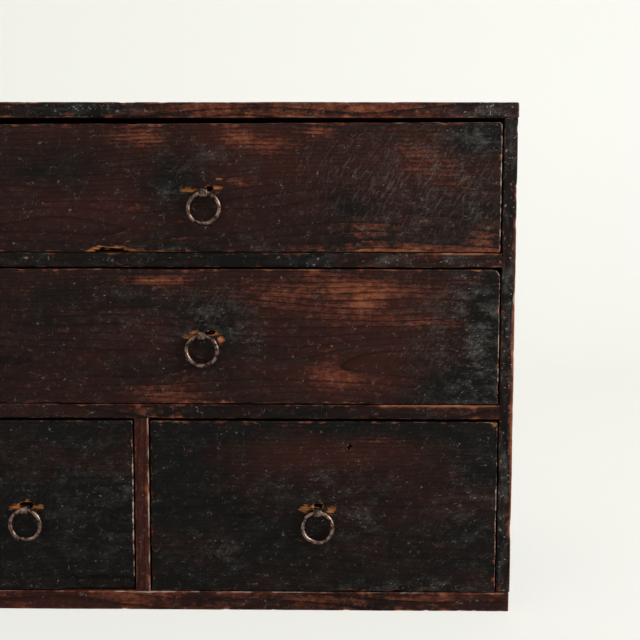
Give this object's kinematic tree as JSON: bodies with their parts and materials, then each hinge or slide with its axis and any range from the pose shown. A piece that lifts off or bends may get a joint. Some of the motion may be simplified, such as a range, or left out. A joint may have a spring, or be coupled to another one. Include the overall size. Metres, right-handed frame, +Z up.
{
  "type": "small tansu chest",
  "caption": "Small pegged board chest: full-width drawers over an unequal lower pair, each slid out by an iron ring hung in a split pin.",
  "frame": {"origin": "centre of the case's underside", "axes": "+X to the right seen from the front, +Y to the back, +Z up; the drawers open towards -Y"},
  "size_m": [0.4442, 0.2497, 0.366],
  "materials": {
    "lacquered_wood": "worn dark lacquer, satin",
    "plain_wood": "bare planed softwood, aged",
    "peg_wood": "whittled, bare",
    "iron": "hand-forged, worn and waxed"
  },
  "bodies": {
    "case": {"top_board": "lacquered_wood", "bottom_board": "lacquered_wood", "left_side_board": "lacquered_wood", "right_side_board": "lacquered_wood", "upper_shelf": "lacquered_wood", "lower_shelf": "lacquered_wood", "partition": "lacquered_wood", "back_plank_1": "plain_wood", "back_plank_2": "plain_wood", "back_plank_3": "plain_wood", "top_pegs": "peg_wood", "bottom_pegs": "peg_wood", "shelf_pegs": "peg_wood", "back_pegs": "peg_wood"},
    "top_drawer": {"top_drawer_front": "lacquered_wood", "top_drawer_left_side": "plain_wood", "top_drawer_right_side": "plain_wood", "top_drawer_back": "plain_wood", "top_drawer_bottom": "plain_wood", "top_drawer_pegs": "peg_wood", "top_drawer_pin": "iron"},
    "top_drawer_ring": {"top_drawer_ring": "iron"},
    "middle_drawer": {"middle_drawer_front": "lacquered_wood", "middle_drawer_left_side": "plain_wood", "middle_drawer_right_side": "plain_wood", "middle_drawer_back": "plain_wood", "middle_drawer_bottom": "plain_wood", "middle_drawer_pegs": "peg_wood", "middle_drawer_pin": "iron"},
    "middle_drawer_ring": {"middle_drawer_ring": "iron"},
    "lower_left_drawer": {"lower_left_drawer_front": "lacquered_wood", "lower_left_drawer_left_side": "plain_wood", "lower_left_drawer_right_side": "plain_wood", "lower_left_drawer_back": "plain_wood", "lower_left_drawer_bottom": "plain_wood", "lower_left_drawer_pegs": "peg_wood", "lower_left_drawer_pin": "iron"},
    "lower_left_drawer_ring": {"lower_left_drawer_ring": "iron"},
    "lower_right_drawer": {"lower_right_drawer_front": "lacquered_wood", "lower_right_drawer_left_side": "plain_wood", "lower_right_drawer_right_side": "plain_wood", "lower_right_drawer_back": "plain_wood", "lower_right_drawer_bottom": "plain_wood", "lower_right_drawer_pegs": "peg_wood", "lower_right_drawer_pin": "iron"},
    "lower_right_drawer_ring": {"lower_right_drawer_ring": "iron"}
  },
  "joints": [
    {"name": "top_drawer_slide", "type": "slide", "parent": "case", "child": "top_drawer", "axis": [0, -1, 0], "range_m": [0, 0.175]},
    {"name": "top_drawer_ring_swing", "type": "hinge", "parent": "top_drawer", "child": "top_drawer_ring", "pos_m": [0.001, -0.12525, 0.30245], "axis": [-1, 0, 0], "range_deg": [-5, 178]},
    {"name": "middle_drawer_slide", "type": "slide", "parent": "case", "child": "middle_drawer", "axis": [0, -1, 0], "range_m": [0, 0.175]},
    {"name": "middle_drawer_ring_swing", "type": "hinge", "parent": "middle_drawer", "child": "middle_drawer_ring", "pos_m": [-0.001, -0.12525, 0.20185], "axis": [-1, 0, 0], "range_deg": [-5, 178]},
    {"name": "lower_left_drawer_slide", "type": "slide", "parent": "case", "child": "lower_left_drawer", "axis": [0, -1, 0], "range_m": [0, 0.175]},
    {"name": "lower_left_drawer_ring_swing", "type": "hinge", "parent": "lower_left_drawer", "child": "lower_left_drawer_ring", "pos_m": [-0.12975, -0.12525, 0.0752], "axis": [-1, 0, 0], "range_deg": [-5, 178]},
    {"name": "lower_right_drawer_slide", "type": "slide", "parent": "case", "child": "lower_right_drawer", "axis": [0, -1, 0], "range_m": [0, 0.175]},
    {"name": "lower_right_drawer_ring_swing", "type": "hinge", "parent": "lower_right_drawer", "child": "lower_right_drawer_ring", "pos_m": [0.0815, -0.12525, 0.0742], "axis": [-1, 0, 0], "range_deg": [-5, 178]}
  ]
}
